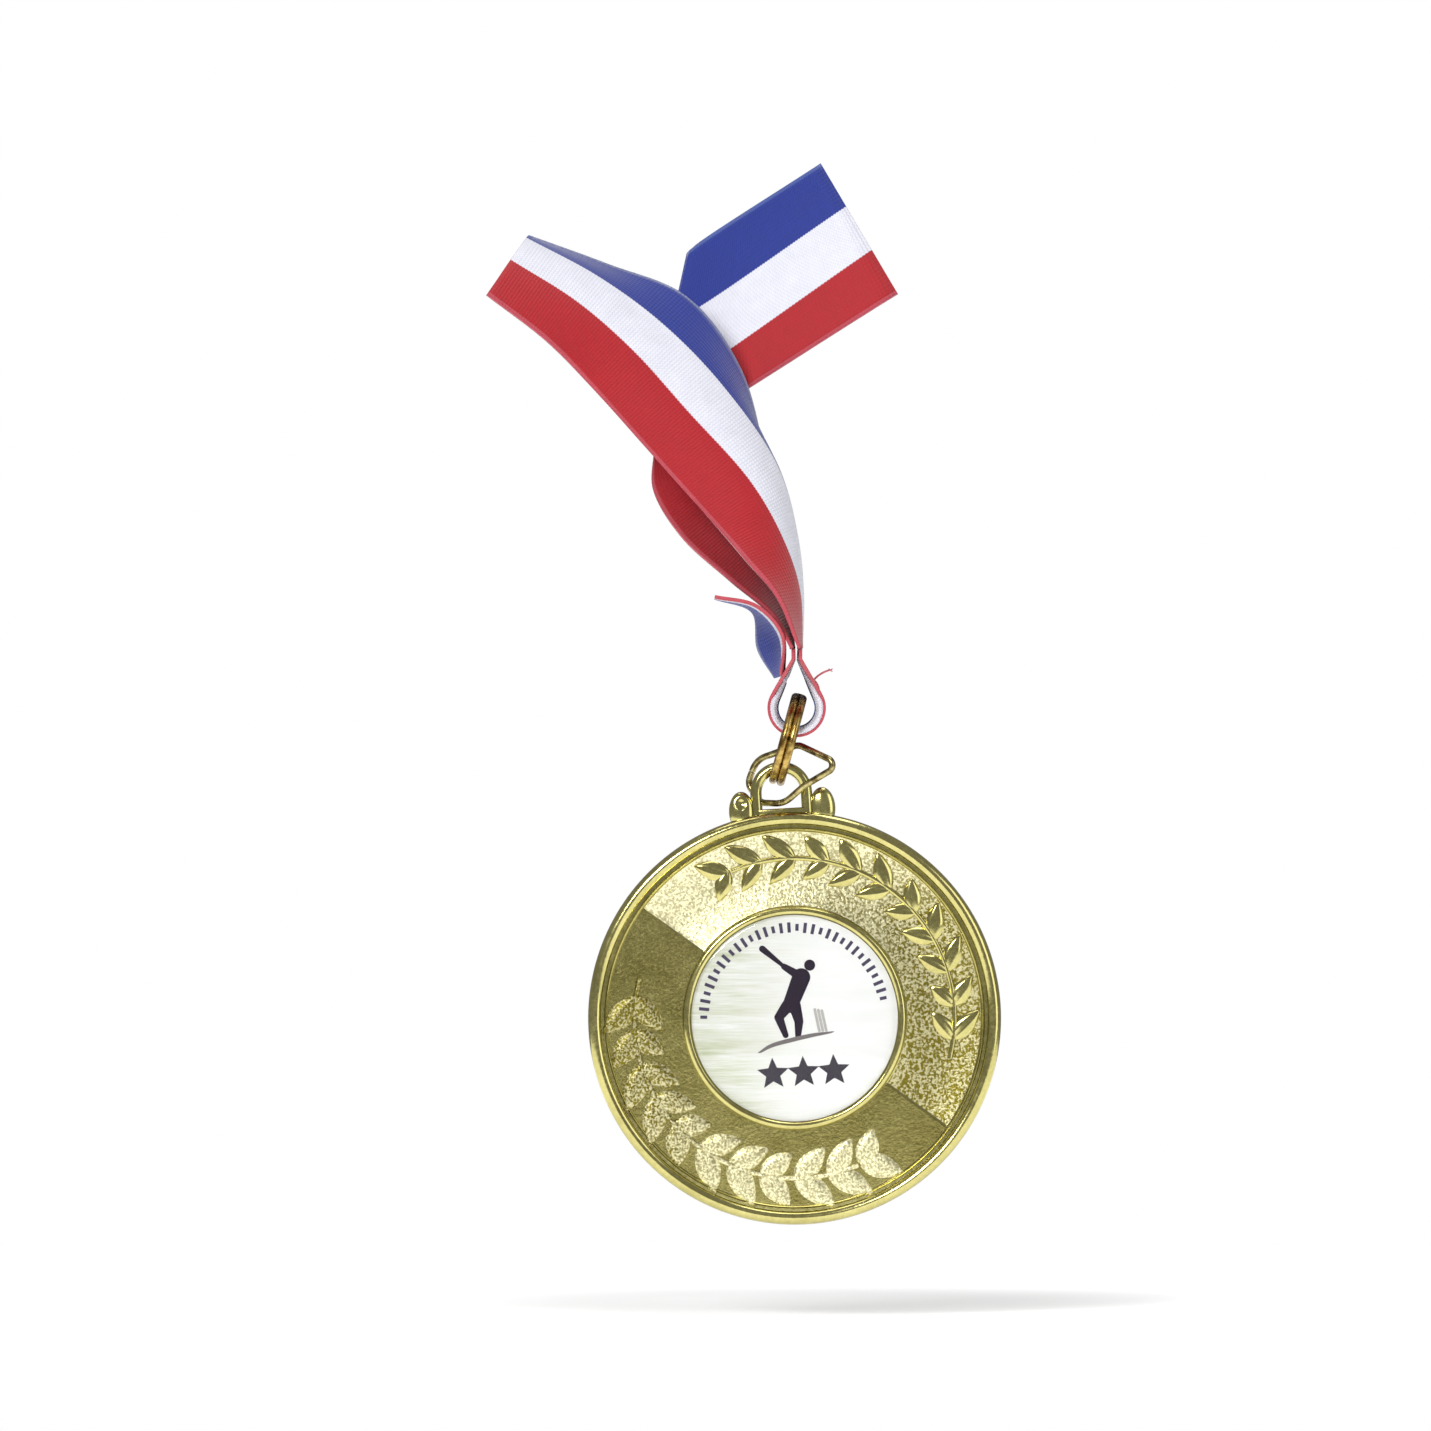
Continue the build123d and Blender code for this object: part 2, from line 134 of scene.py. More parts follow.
# the casting's finishes, in the order it is given them
RIM, SAND, PLAIN, MATTE = range(4)

# print
TICK_RADIUS = 11.0
TICK_PITCH = 5.05

# floor and view
FLOOR_DROP = 11.5  # under the medal
FLOOR_Z = cad_bounds[0].z - FLOOR_DROP * MM
FLOOR_RADIUS = 0.26
# the patch that FLOOR_SHIFT centres is a painted shadow: the floor glows less there
FLOOR_SHIFT = (-0.0133, -0.06, -FLOOR_Z)  # brings the middle of the unlit patch to the zero point
VIEW_MIDDLE = (3.74, -56.86)
VIEW_SPAN = 173.3
VIEW_DISTANCE = 1800.0


# --- small tools --------------------------------------------------------------------------
def across(angle):
    """Unit vector in the plane of the front view, at an angle above +X."""
    return Vector((cos(radians(angle)), 0, sin(radians(angle))))


def polar(radius, angle):
    return Vector((radius * cos(radians(angle)), radius * sin(radians(angle)), 0))


def turned(angle):
    return Matrix.Rotation(radians(angle), 4, "Z")


def flow(points, steps):
    """Points along a smooth curve through the given ones, that many steps from each to the next."""
    points = [Vector(p) for p in points]
    ends = [2 * points[0] - points[1], *points, 2 * points[-1] - points[-2]]
    out = []
    for p0, p1, p2, p3 in zip(ends, ends[1:], ends[2:], ends[3:]):
        t1 = max((p1 - p0).length, 1e-6) ** 0.5
        t2 = t1 + max((p2 - p1).length, 1e-6) ** 0.5
        t3 = t2 + max((p3 - p2).length, 1e-6) ** 0.5
        for i in range(steps):
            t = t1 + (t2 - t1) * i / steps
            a1 = p0.lerp(p1, t / t1)
            a2 = p1.lerp(p2, (t - t1) / (t2 - t1))
            a3 = p2.lerp(p3, (t - t2) / (t3 - t2))
            b1 = a1.lerp(a2, t / t2)
            b2 = a2.lerp(a3, (t - t1) / (t3 - t1))
            out.append(b1.lerp(b2, (t - t1) / (t2 - t1)))
    return [*out, points[-1]]


def ease(t):
    t = min(max(t, 0.0), 1.0)
    return t * t * (3 - 2 * t)


def piece(name, bm, place, body, finishes, sharp=40):
    """Makes a finished mesh an object that rides on a body, with its place in its mesh."""
    bmesh.ops.transform(bm, matrix=place, verts=bm.verts)
    mesh = bpy.data.meshes.new(name)
    bm.to_mesh(mesh)
    bm.free()
    mesh.polygons.foreach_set("use_smooth", [True] * len(mesh.polygons))
    mesh.set_sharp_from_angle(angle=radians(sharp))
    for finish in finishes:
        mesh.materials.append(finish)
    obj = bpy.data.objects.new(name, mesh)
    bpy.context.scene.collection.objects.link(obj)
    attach(obj, body)
    return obj


def revolve(bm, profile):
    """Turns a profile of (radius, height) points a full turn about Z, and returns the new faces."""
    before = set(bm.faces)
    verts = [bm.verts.new((r, 0, z)) for r, z in profile]
    edges = [bm.edges.new(pair) for pair in zip(verts, verts[1:])]
    bmesh.ops.spin(
        bm,
        geom=verts + edges,
        cent=(0, 0, 0),
        axis=(0, 0, 1),
        angle=2 * pi,
        steps=ROUND_STEPS,
        use_merge=True,
    )
    bmesh.ops.remove_doubles(bm, verts=bm.verts, dist=1e-4)
    faces = [f for f in bm.faces if f not in before]
    bmesh.ops.recalc_face_normals(bm, faces=faces)
    return faces


def thicken(bm, faces, drop):
    """Closes a flat or domed patch downwards to a level bottom at height drop."""
    grown = bmesh.ops.extrude_face_region(bm, geom=faces)
    new = grown["geom"]
    for v in (g for g in new if isinstance(g, bmesh.types.BMVert)):
        v.co.z = drop
    shell = set(faces) | {g for g in new if isinstance(g, bmesh.types.BMFace)}
    shell |= {f for g in new if isinstance(g, bmesh.types.BMVert) for f in g.link_faces}
    bmesh.ops.recalc_face_normals(bm, faces=list(shell))
    return list(shell)


def add_wire(bm, points, radius, sides=6):
    """Adds a closed round wire along a smooth curve."""
    curve = bpy.data.curves.new("wire", "CURVE")
    curve.dimensions = "3D"
    curve.bevel_depth = radius
    curve.bevel_resolution = sides
    curve.resolution_u = 8
    curve.use_fill_caps = True
    spline = curve.splines.new("NURBS")
    spline.points.add(len(points) - 1)
    for point, co in zip(spline.points, points):
        point.co = (*co, 1)
    spline.order_u = 3
    spline.use_endpoint_u = True
    obj = bpy.data.objects.new("wire", curve)
    mesh = bpy.data.meshes.new_from_object(obj)
    bpy.data.objects.remove(obj)
    bpy.data.curves.remove(curve)
    bm.from_mesh(mesh)
    bpy.data.meshes.remove(mesh)


# --- finishes -----------------------------------------------------------------------------
def tone(red, green, blue):
    """A colour mixed on a screen, as the linear values a shader takes."""
    levels = [c / 255 for c in (red, green, blue)]
    return (*[c / 12.92 if c <= 0.04045 else ((c + 0.055) / 1.055) ** 2.4 for c in levels], 1.0)


GOLD_DEEP, GOLD_LIGHT = tone(126, 116, 52), tone(216, 208, 140)
GOLD_CREAM, GOLD_OLIVE = tone(248, 242, 200), tone(116, 106, 36)
RED, WHITE, BLUE = tone(180, 20, 29), tone(236, 237, 248), tone(26, 50, 146)
# paler edge tones: a painted highlight along both edges of the ribbon
EDGE_HIGHLIGHT_RED, EDGE_HIGHLIGHT_BLUE = tone(198, 78, 90), tone(64, 88, 166)
WEAVE_SHADOW = tone(40, 30, 44)


class Level:
    """A value in a material. Arithmetic on it adds Math nodes."""

    def __init__(self, finish, socket):
        self.finish = finish
        self.socket = socket

    def maths(self, operation, *others, clamp=False):
        values = dict(enumerate([self, *others]))
        return self.finish.node("ShaderNodeMath", {"operation": operation, "use_clamp": clamp}, values)

    def __add__(self, other):
        return self.maths("ADD", other)

    def __mul__(self, other):
        return self.maths("MULTIPLY", other)

    def __sub__(self, other):
        return self.maths("SUBTRACT", other)

    def __rsub__(self, other):
        return (self * -1) + other

    def __truediv__(self, other):
        return self.maths("DIVIDE", other)

    def wave(self):
        return self.maths("SINE")

    def clamped(self):
        """The value kept between 0 and 1."""
        return self.maths("ADD", 0, clamp=True)

    def above(self, edge, soft):
        """0 under an edge and 1 over it, changing over a width of soft."""
        return self.finish.node(
            "ShaderNodeMapRange",
            {"interpolation_type": "SMOOTHSTEP"},
            {0: self, 1: edge - soft / 2, 2: edge + soft / 2, 3: 0.0, 4: 1.0},
        )


class Finish:
    """A material with one Principled shader."""

    def __init__(self, name, colour, roughness, metallic=0.0, **constants):
        self.material = bpy.data.materials.new(name)
        self.material.use_nodes = True
        self.tree = self.material.node_tree
        self.shader = next(n for n in self.tree.nodes if n.type == "BSDF_PRINCIPLED")
        self.set("Base Color", colour)
        self.set("Roughness", roughness)
        self.set("Metallic", metallic)
        for name, value in constants.items():
            self.set(name.replace("_", " "), value)

    def feed(self, socket, value):
        if isinstance(value, Level):
            self.tree.links.new(value.socket, socket)
        else:
            socket.default_value = value

    def set(self, name, value):
        self.feed(self.shader.inputs[name], value)

    def node(self, kind, settings=None, values=None, out=0):
        node = self.tree.nodes.new(kind)
        for key, value in (settings or {}).items():
            setattr(node, key, value)
        for key, value in (values or {}).items():
            self.feed(node.inputs[key], value)
        return Level(self, node.outputs[out])

    def place(self, turn=0.0, stretch=(1, 1, 1), shift=(0, 0, 0)):
        """Object coordinates, moved to a zero point, turned about Y and stretched."""
        here = self.node("ShaderNodeTexCoord", out=3)
        return self.node(
            "ShaderNodeMapping",
            {"vector_type": "POINT"},
            {"Vector": here, "Location": shift, "Rotation": (0, turn, 0), "Scale": stretch},
        )

    def split(self, vector):
        node = self.tree.nodes.new("ShaderNodeSeparateXYZ")
        self.feed(node.inputs[0], vector)
        return [Level(self, out) for out in node.outputs]

    def noise(self, vector, size, detail=3.0, rough=0.55):
        """Noise from 0 to 1, whose spots are about size millimetres."""
        values = {"Vector": vector, "Scale": 1 / (size * MM), "Detail": detail, "Roughness": rough}
        return self.node("ShaderNodeTexNoise", {}, values)

    def mix(self, share, first, second):
        return self.node(
            "ShaderNodeMix", {"data_type": "RGBA"}, {0: share, 6: first, 7: second}, out=2
        )

    def bump(self, height, depth, under=None):
        """A normal that stands for a relief of depth millimetres."""
        values = {"Height": height, "Strength": 1.0, "Distance": depth * MM}
        if under is not None:
            values["Normal"] = under
        return self.node("ShaderNodeBump", {}, values)


def gold(name, grain, grain_depth, roughness, light=0.5):
    """Cast metal with a thin gold lacquer: grain in millimetres, and how much of the light tone."""
    finish = Finish(name, GOLD_LIGHT, roughness, 1.0)
    here = finish.place()
    sand = finish.noise(here, grain, 4.0, 0.6)
    cloud = finish.noise(here, 5.0, 2.0)
    share = (cloud * 0.5 + sand * 0.5 + (light - 0.5)).clamped()
    finish.set("Base Color", finish.mix(share, GOLD_DEEP, GOLD_LIGHT))
    finish.set("Roughness", (sand - 0.5) * 0.2 + cloud * 0.06 + (roughness - 0.03))
    finish.set("Normal", finish.bump(sand, grain_depth))
    return finish.material


def sanded_gold(name, grain, depth, paleness, lean):
    """Sand-cast gold: cream grains on olive, with painted light and shade: paler away from the way it leans,
    more olive towards it.
    """
    finish = Finish(name, GOLD_LIGHT, 0.4, 1.0)
    here = finish.place()
    grains = finish.noise(here, grain, 2.0, 0.6)
    cloud = finish.noise(here, 3.5, 2.0)
    x, _, z = finish.split(finish.place(shift=(-disc_middle.x, 0, -disc_middle.z)))
    # painted light and shade: cream on the side away from the lean, olive towards it, broken up by the cloud
    away = (x * lean[0] + z * lean[1]) / (MEDAL_RADIUS * MM) + (cloud - 0.5) * 0.8
    pale = 1 - away.above(0.05, 1.5)
    share = (grains.above(0.5, 0.2) * 0.6 + pale * 0.62 + (paleness - 0.5)).clamped()
    finish.set("Base Color", finish.mix(share, GOLD_OLIVE, GOLD_CREAM))
    finish.set("Roughness", grains * 0.3 + 0.24)
    finish.set("Normal", finish.bump(grains, depth))
    return finish.material


def ring_metal(name, dark, pale, roughness):
    finish = Finish(name, pale, roughness, 1.0)
    here = finish.place()
    smear = finish.noise(here, 1.1, 4.0)
    fine = finish.noise(here, 0.12, 2.0)
    finish.set("Base Color", finish.mix(smear.above(0.5, 0.35), dark, pale))
    finish.set("Roughness", smear * 0.22 + (roughness - 0.08))
    finish.set("Normal", finish.bump(fine, 0.012))
    return finish.material


def ribbon_cloth():
    """Woven stripes: fine ribs across, with a painted highlight along both edges."""
    finish = Finish("ribbon_weave", RED, 0.62, Sheen_Weight=0.35, Sheen_Roughness=0.45)
    finish.set("Specular IOR Level", 0.3)
    spot = finish.node("ShaderNodeUVMap", {"uv_map": "Cloth"})
    u, v, _ = finish.split(spot)
    rib = (v * (2 * pi * RIBBON_WIDTH / 0.42)).wave()
    warp = (u * (2 * pi * RIBBON_WIDTH / 0.5)).wave()
    wander = u + rib * 0.0016
    cloth = finish.mix(wander.above(1 / 3, 0.008), RED, WHITE)
    cloth = finish.mix(wander.above(2 / 3, 0.008), cloth, BLUE)
    # painted highlight: a paler band along the red edge and along the blue edge
    cloth = finish.mix(1 - u.above(0.022, 0.012), cloth, EDGE_HIGHLIGHT_RED)
    cloth = finish.mix(u.above(0.978, 0.012), cloth, EDGE_HIGHLIGHT_BLUE)
    uneven = finish.noise(finish.place(), 2.2, 4.0)
    thread = rib * warp * 0.5 + 0.5
    shade = (1 - thread) * 0.14 + uneven * 0.16
    finish.set("Base Color", finish.mix(shade, cloth, WEAVE_SHADOW))
    finish.set("Roughness", thread * 0.1 + 0.55)
    finish.set("Normal", finish.bump(rib * 0.5 + warp * 0.22 + uneven * 0.8, 0.035))
    return finish.material


def thread_cotton():
    finish = Finish("thread_cotton", tone(196, 60, 76), 0.8, Sheen_Weight=0.4)
    twist = finish.noise(finish.place(), 0.16, 3.0)
    finish.set("Base Color", finish.mix(twist, tone(150, 26, 40), tone(224, 130, 140)))
    finish.set("Normal", finish.bump(twist, 0.05))
    return finish.material


def brushed_print():
    """White lacquered aluminium, brushed level, with a painted greenish reflection to the left."""
    finish = Finish("printed_metal", tone(236, 237, 234), 0.4)
    brush = finish.noise(finish.place(stretch=(0.05, 1, 1)), 0.2, 4.0, 0.6)
    broad = finish.noise(finish.place(stretch=(0.16, 1, 1)), 1.3, 2.0)
    x, _, _ = finish.split(finish.place(shift=(-disc_middle.x, 0, 0)))
    # painted reflection: a greenish cast over the left side, streaked along the brushing
    left = 1 - (x / (INSERT_RADIUS * MM)).above(-0.25, 1.2)
    painted_reflection = (brush * 1.3 + broad * 1.5 - 0.95).maths("MULTIPLY", left, clamp=True)
    white = finish.mix(broad, tone(228, 230, 226), tone(246, 246, 246))
    finish.set("Base Color", finish.mix(painted_reflection, white, tone(176, 184, 142)))
    finish.set("Roughness", brush * 0.25 + 0.25)
    finish.set("Normal", finish.bump(brush, 0.006))
    return finish.material


def ink(name, colour):
    finish = Finish(name, colour, 0.5)
    finish.set("Specular IOR Level", 0.15)
    speckle = finish.noise(finish.place(), 0.2, 3.0)
    paler = tuple(min(c * 1.5 + 0.004, 1.0) for c in colour[:3]) + (1.0,)
    finish.set("Base Color", finish.mix(speckle * 0.6, colour, paler))
    finish.set("Roughness", speckle * 0.2 + 0.4)
    return finish.material


def clear_resin():
    """A clear dome: seen straight through, with gloss that grows towards its edge."""
    finish = Finish("clear_dome", tone(236, 238, 238), 0.03, 1.0)
    ripple = finish.noise(finish.place(), 6.0, 1.0)
    finish.set("Normal", finish.bump(ripple, 0.02))
    inside = finish.node("ShaderNodeNewGeometry", out="Backfacing")
    gloss = finish.node("ShaderNodeFresnel", {}, {"IOR": 1.45}) * (1 - inside)
    clear = finish.node("ShaderNodeBsdfTransparent", {}, {"Color": tone(252, 252, 252)})
    output = next(n for n in finish.tree.nodes if n.type == "OUTPUT_MATERIAL")
    shine = Level(finish, finish.shader.outputs[0])
    both = finish.node("ShaderNodeMixShader", {}, {0: gloss, 1: clear, 2: shine})
    finish.feed(output.inputs["Surface"], both)
    return finish.material


def foam_pad():
    finish = Finish("adhesive_foam", tone(228, 224, 210), 0.85)
    cells = finish.noise(finish.place(), 0.3, 3.0)
    finish.set("Base Color", finish.mix(cells, tone(206, 200, 182), tone(238, 236, 226)))
    finish.set("Normal", finish.bump(cells, 0.05))
    return finish.material


def floor_paper():
    """White paper with a painted glow away from the middle, so that its edge melts into the backdrop, and a
    painted shadow in the middle where it glows less.
    """
    finish = Finish("floor_paper", tone(250, 250, 250), 0.9, Emission_Strength=0.7)
    fibre = finish.noise(finish.place(), 4.0, 3.0)
    finish.set("Base Color", finish.mix(fibre, tone(246, 246, 246), tone(253, 253, 253)))
    # painted shadow: the patch behind the medal glows less than the rest of the floor
    spot = finish.place(shift=FLOOR_SHIFT)
    away = finish.node("ShaderNodeVectorMath", {"operation": "LENGTH"}, {0: spot}, out="Value")
    painted_glow_and_shadow = finish.mix(away.above(0.055, 0.07), tone(110, 110, 110), tone(255, 255, 255))
    finish.set("Emission Color", painted_glow_and_shadow)
    return finish.material


# --- medal ----------------------------------------------------------------------------------
right, up = across(MEDAL_TILT), across(90 + MEDAL_TILT)
MEDAL_PLACE = Matrix.Translation((disc_middle.x, 0, disc_middle.z)) @ Matrix(
    (
        (right.x, up.x, 0, 0),
        (0, 0, -1, 0),
        (right.z, up.z, 0, 0),
        (0, 0, 0, 1),
    )
) @ IN_MM
SPLIT_OUT = polar(1, FIELD_SPLIT + 90)  # from the dividing line into the grained half


def medal_turning(bm):
    """Back, rim, bead, field and seat, all turned about the medal's axis."""
    rim = flow([(MEDAL_RADIUS, 0.6), (24.78, 1.1), (24.2, HALF_THICK), (23.65, 1.2), (RIM_INNER, FIELD)], 4)
    bead_middle = (BEAD_OUTER + BEAD_INNER) / 2
    bead = flow([(BEAD_OUTER, FIELD), (bead_middle, FIELD + 0.25), (BEAD_INNER, FIELD)], 3)
    lip = flow(
        [(SEAT_RING_OUTER, FIELD), (13.38, 1.12), (13.1, SEAT_RING_TOP), (12.8, 1.22), (SEAT_RADIUS, 1.1)], 3
    )
    profile = [
        (0, -HALF_THICK),
        (24.6, -HALF_THICK),
        (24.88, -1.28),
        (MEDAL_RADIUS, -1.0),
        *rim,
        *bead,
        (BEAD_INNER - 0.1, FIELD),
        (BEAD_INNER - 0.3, FIELD),
        (SEAT_RING_OUTER + 0.3, FIELD),
        (SEAT_RING_OUTER + 0.1, FIELD),
        *lip,
        (SEAT_RADIUS, SEAT_FLOOR),
        (0, SEAT_FLOOR),
    ]
    revolve(bm, [(p[0], p[1]) for p in profile])


def sink_grained_half(bm):
    """Cuts the field along its dividing line and sinks one half, with a bevel between."""
    inner, outer = SEAT_RING_OUTER + 0.2, BEAD_INNER - 0.2

    def in_field(co, slack=0.0):
        return abs(co.z - FIELD) < 0.01 and inner - slack < hypot(co.x, co.y) < outer + slack

    for offset in (0, STEP_SLOPE):
        faces = [f for f in bm.faces if all(in_field(v.co, 0.15) for v in f.verts)]
        edges = {e for f in faces for e in f.edges}
        verts = {v for f in faces for v in f.verts}
        bmesh.ops.bisect_plane(
            bm, geom=[*faces, *edges, *verts], plane_co=SPLIT_OUT * offset, plane_no=SPLIT_OUT
        )
    for v in bm.verts:
        if in_field(v.co) and v.co.dot(SPLIT_OUT) > STEP_SLOPE - 1e-3:
            v.co.z -= FIELD_STEP


def leaf(bm, length, width, place, finish):
    """One pointed leaf, domed on both sides of its vein, from its stalk along +X."""
    grid = bmesh.ops.create_grid(bm, x_segments=12, y_segments=8, size=0.5)
    verts = grid["verts"]
    for v in verts:
        along, side = v.co.x + 0.5, v.co.y * 2
        half = width / 2 * sin(pi * along**0.85) ** 0.8 if 0 < along < 1 else 0.0
        dome = (1 - abs(side) ** 2.4) * sin(pi * along) ** 0.4 if 0 < along < 1 else 0.0
        vein = 0.34 * exp(-((side / 0.22) ** 2)) * (1 - along * 0.6)
        curl = 0.1 * length * along * along
        v.co = Vector((length * along, half * side + curl - 0.06 * length, LEAF_RISE * dome * (1 - vein)))
    faces = list({f for v in verts for f in v.link_faces})
    shell = thicken(bm, faces, -FIELD_STEP - 0.1)
    for f in shell:
        f.material_index = finish
    around = list({v for f in shell for v in f.verts})
    bmesh.ops.remove_doubles(bm, verts=around, dist=1e-3)
    around = [v for v in around if v.is_valid]
    bmesh.ops.transform(bm, matrix=place, verts=around)


def branch(bm, turn, leaves, finish):
    """One laurel branch: a stem with pairs of leaves, growing counter-clockwise."""
    start = FIELD_SPLIT + BRANCH_LEAD + turn
    reach = LEAF_PITCH * (LEAF_PAIRS - 1)
    base = FIELD if turn else FIELD - FIELD_STEP
    for pair in range(LEAF_PAIRS):
        angle = start + pair * LEAF_PITCH
        stalk = polar(BRANCH_RADIUS, angle) + Vector((0, 0, base))
        size = 1 - 0.12 * (pair % 3 == 1)
        for (length, width), spread, side in zip(leaves, LEAF_SPREADS, (-1, 1)):
            place = Matrix.Translation(stalk) @ turned(angle + 90 + side * spread)
            if side < 0:
                place = place @ Matrix.Scale(-1, 4, (0, 1, 0))
            leaf(bm, length * size, width, place, finish)
    lift = Vector((0, 0, base))
    stem = [polar(BRANCH_RADIUS, start - 6 + (reach + 6) * i / 24) + lift for i in range(25)]
    before = len(bm.faces)
    add_wire(bm, stem, BRANCH_WIRE)
    bm.faces.ensure_lookup_table()
    for f in bm.faces[before:]:
        f.material_index = finish


def eye(bm):
    """The cast arch that the ring hangs in, its sill, and a round shoulder each side."""
    arch_half = (EYE_WIDTH - EYE_BAND) / 2
    arch_centre = MEDAL_RADIUS + EYE_HEIGHT - EYE_BAND / 2 - arch_half
    start = Matrix.Translation((-arch_half, arch_centre, 0)) @ Matrix.Rotation(pi / 2, 4, "X")
    loop = bmesh.ops.create_circle(bm, segments=24, radius=EYE_BAND / 2, matrix=start)["verts"]
    edges = list({e for v in loop for e in v.link_edges})
    spun = bmesh.ops.spin(
        bm, geom=loop + edges, cent=(0, arch_centre, 0), axis=(0, 0, -1), angle=pi, steps=36
    )
    far = [g for g in spun["geom_last"] if isinstance(g, bmesh.types.BMEdge)]
    for ring in (edges, far):
        leg = bmesh.ops.extrude_edge_only(bm, edges=ring)["geom"]
        foot = [g for g in leg if isinstance(g, bmesh.types.BMVert)]
        for v in foot:
            v.co.y = RIM_INNER + 0.3
        bmesh.ops.contextual_create(bm, geom=foot)
    sill = bmesh.ops.create_cube(bm, size=1)["verts"]
    foot, top = RIM_INNER + 0.5, MEDAL_RADIUS + EYE_SILL
    for v in sill:
        v.co.x *= EYE_WIDTH - EYE_BAND
        v.co.y = top if v.co.y > 0 else foot
        v.co.z *= EYE_THICK - 0.1
    bmesh.ops.bevel(
        bm,
        geom=list({e for v in sill for e in v.link_edges}),
        offset=0.2,
        segments=3,
        profile=0.5,
        affect="EDGES",
        material=-1,
    )
    for side in (-1, 1):
        shoulder(bm, side)


def shoulder(bm, side):
    """A round ear standing on the rim beside the arch, the left one with a dished face."""
    stretch = SHOULDER_Z * 0.8  # down into the rim, so that the ear grows out of it
    centre = Matrix.Translation((side * SHOULDER_X, MEDAL_RADIUS + SHOULDER_Z - stretch, 0))
    shape = Matrix.Diagonal((SHOULDER_RADIUS + 0.1, SHOULDER_RADIUS + stretch, EYE_THICK / 2 + 0.1, 1))
    ear = bmesh.ops.create_uvsphere(bm, u_segments=32, v_segments=20, radius=1, matrix=centre @ shape)
    if side > 0:
        return
    middle = Vector((side * SHOULDER_X, MEDAL_RADIUS + SHOULDER_Z, 0))
    for v in ear["verts"]:
        away = hypot(v.co.x - middle.x, v.co.y - middle.y)
        if v.co.z > 0:
            v.co.z -= 0.5 * v.co.z * (1 - ease(away / 0.9))


def make_medal_body():
    bm = bmesh.new()
    medal_turning(bm)
    sink_grained_half(bm)
    for f in bm.faces:
        co = f.calc_center_median()
        in_field = SEAT_RING_OUTER + 0.1 < hypot(co.x, co.y) < BEAD_INNER - 0.1 and co.z > 0
        if in_field and co.dot(SPLIT_OUT) > STEP_SLOPE:
            f.material_index = SAND
        elif in_field and co.dot(SPLIT_OUT) < 0:
            f.material_index = PLAIN
    branch(bm, 0, SHINY_LEAVES, RIM)
    branch(bm, 180, MATTE_LEAVES, MATTE)
    eye(bm)
    finishes = [
        gold("gold_rim", 0.5, 0.008, 0.16, 0.62),
        sanded_gold("gold_sand", 0.3, 0.12, 0.34, (0.8, -0.45)),
        gold("gold_field", 0.35, 0.03, 0.24, 0.3),
        sanded_gold("gold_matte", 0.3, 0.09, 0.24, (-0.7, 0.7)),
    ]
    body = piece("medal_casting", bm, MEDAL_PLACE, "medal", finishes, sharp=38)
    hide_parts("medal_body")


# --- printed centre -------------------------------------------------------------------------
def dome():
    bm = bmesh.new()
    low, edge = INSERT_TOP + DOME_GAP, DOME_EDGE
    sag = DOME_CROWN - DOME_EDGE
    crown = [(INSERT_RADIUS * t / 24, edge + sag * (1 - (t / 24) ** 2)) for t in range(24)]
    side = [(INSERT_RADIUS - 0.12, edge + 0.015), (INSERT_RADIUS - 0.02, edge - 0.06)]
    profile = [(0, low), (INSERT_RADIUS - 0.02, low), *reversed(side), *reversed(crown)]
    revolve(bm, profile)
    obj = piece("resin_dome", bm, MEDAL_PLACE, "medal", [clear_resin()], sharp=50)
    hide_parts("insert_dome")


def inked(name, shapes, finish):
    """Flat printed shapes, as thin as ink. Each is a list of outline points in millimetres."""
    bm = bmesh.new()
    for i, outline in enumerate(shapes):
        verts = [bm.verts.new((x, y, INSERT_TOP + INK - i * 0.0004)) for x, y in outline]
        thicken(bm, [bm.faces.new(verts)], INSERT_TOP - 0.01)
    return piece(name, bm, MEDAL_PLACE, "medal", [finish], sharp=30)


def limb(start, end, thick, thin=None):
    """Outline of a rounded limb from one point to another, tapering where thin is given."""
    thin = thick if thin is None else thin
    a, b = Vector(start), Vector(end)
    heading = degrees(atan2(b.y - a.y, b.x - a.x))
    ends = ((b, thin / 2, heading - 90), (a, thick / 2, heading + 90))
    return [
        tuple(middle + polar(radius, first + 180 * i / 10).xy)
        for middle, radius, first in ends
        for i in range(11)
    ]


def star(x, y, size):
    return [
        tuple((Vector((x, y, 0)) + polar(size if i % 2 == 0 else size * 0.45, 90 + 36 * i)).xy)
        for i in range(10)
    ]


def athlete():
    """A plain figure swinging a bat up, as outlines."""
    hip, chest, head, hands = (-0.4, 1.6), (1.1, 4.9), (2.2, 6.3), (-0.9, 6.3)
    return [
        limb(head, head, 1.35),
        limb(hip, chest, 1.9, 2.2),
        limb(chest, hands, 1.2, 0.75),
        limb(hands, (-3.4, 8.6), 0.42, 0.8),
        limb((-0.8, 1.5), (-1.9, 0.2), 1.5, 1.1),
        limb((-1.9, 0.2), (-1.2, -2.0), 1.1, 0.7),
        limb((0.1, 1.5), (0.5, -0.4), 1.5, 1.1),
        limb((0.5, -0.4), (0.3, -2.2), 1.1, 0.7),
    ]


def ground():
    """A swept line under the figure, thickest in its middle."""
    top = flow([(-4.7, -3.9), (-3.2, -3.0), (-0.5, -2.35), (2.2, -1.95), (4.6, -1.85)], 5)
    last = len(top) - 1
    under = [(p.x + 0.15, p.y - 0.08 - 0.42 * sin(pi * i / last) ** 0.6) for i, p in enumerate(top)]
    return [*[tuple(p) for p in top], *under[::-1]]


def tick_marks():
    """Marks round the upper edge, every third one short."""
    marks = []
    for i in range(34):
        spin = turned(176 - i * TICK_PITCH)
        tall = 0.62 if i % 3 else 0.42
        inner, outer = TICK_RADIUS - tall, TICK_RADIUS + tall
        corners = [(inner, -0.2), (outer, -0.2), (outer, 0.2), (inner, 0.2)]
        marks.append([tuple((spin @ Vector((x, y, 0))).xy) for x, y in corners])
    return marks


